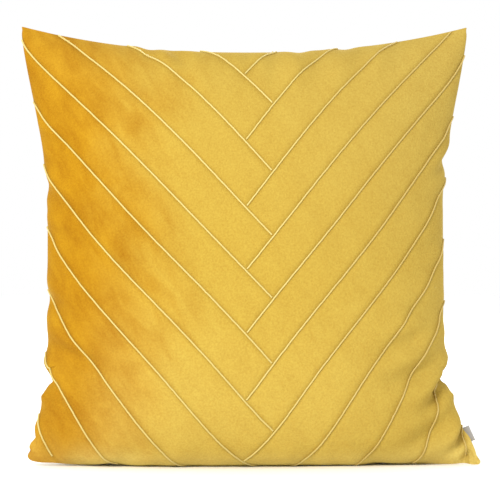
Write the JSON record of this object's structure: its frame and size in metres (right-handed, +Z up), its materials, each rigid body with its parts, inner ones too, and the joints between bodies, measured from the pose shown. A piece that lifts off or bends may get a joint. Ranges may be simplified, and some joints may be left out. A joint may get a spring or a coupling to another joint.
{
  "type": "throw pillow",
  "caption": "Square stuffed velvet throw pillow standing on its lower edge, with a herringbone of sewn-on cords, a zipped back and a small label in the side seam.",
  "frame": {"origin": "on the floor, in the middle of the pillow's outline seen from above", "axes": "+Z up, +X along the width, the corded front faces -Y and the zipped back faces +Y"},
  "size_m": [0.4347, 0.148, 0.417],
  "materials": {
    "velvet": "mustard gold velvet",
    "satin_cord": "pale gold satin cord",
    "insert_ticking": "white cotton",
    "fibre_filling": "white polyester fibre",
    "zip_tape": "mustard woven tape",
    "nylon_coil": "mustard nylon coil",
    "old_brass": "old brass plating",
    "label_satin": "white satin tape"
  },
  "bodies": {
    "pillow": {"back_panel_lower": "velvet", "back_panel_upper": "velvet", "cord_left_02": "satin_cord", "cord_left_03": "satin_cord", "cord_left_04": "satin_cord", "cord_left_05": "satin_cord", "cord_left_06": "satin_cord", "cord_left_07": "satin_cord", "cord_left_08": "satin_cord", "cord_left_09": "satin_cord", "cord_left_10": "satin_cord", "cord_left_11": "satin_cord", "cord_right_01": "satin_cord", "cord_right_02": "satin_cord", "cord_right_03": "satin_cord", "cord_right_04": "satin_cord", "cord_right_05": "satin_cord", "cord_right_06": "satin_cord", "cord_right_07": "satin_cord", "cord_right_08": "satin_cord", "cord_right_09": "satin_cord", "cord_right_10": "satin_cord", "cord_right_11": "satin_cord", "filling": "fibre_filling", "front_panel": "velvet", "insert_casing_back": "insert_ticking", "insert_casing_front": "insert_ticking", "zip_bottom_stop": "old_brass", "zip_coil_lower": "nylon_coil", "zip_coil_upper": "nylon_coil", "zip_tape_lower": "zip_tape", "zip_tape_upper": "zip_tape", "zip_top_stop_lower": "old_brass", "zip_top_stop_upper": "old_brass"},
    "zip_slider": {"zip_slider": "old_brass"},
    "pull_ring": {"pull_ring": "old_brass"},
    "pull_tab": {"pull_tab": "old_brass"},
    "care_label": {"care_label": "label_satin"}
  },
  "joints": [
    {"name": "zip_run", "type": "hinge", "parent": "pillow", "child": "zip_slider", "pos_m": [0, -0.60845, 0.068], "axis": [0, 0, 1], "range_deg": [-23.46, 0]},
    {"name": "ring_swing", "type": "hinge", "parent": "zip_slider", "child": "pull_ring", "pos_m": [-0.13656, 0.04925, 0.068], "axis": [0.9791, 0.2033, 0], "range_deg": [0, 178]},
    {"name": "tab_swing", "type": "hinge", "parent": "pull_ring", "child": "pull_tab", "pos_m": [-0.13656, 0.04925, 0.06545], "axis": [-0.2033, 0.9791, 0], "range_deg": [-50, 50]},
    {"name": "label_fold", "type": "hinge", "parent": "pillow", "child": "care_label", "pos_m": [0.20836, -0.00971, 0.02623], "axis": [-0.3916, 0.0802, 0.9166], "range_deg": [-60, 60], "stiffness_Nm_per_rad": 0.0004}
  ]
}
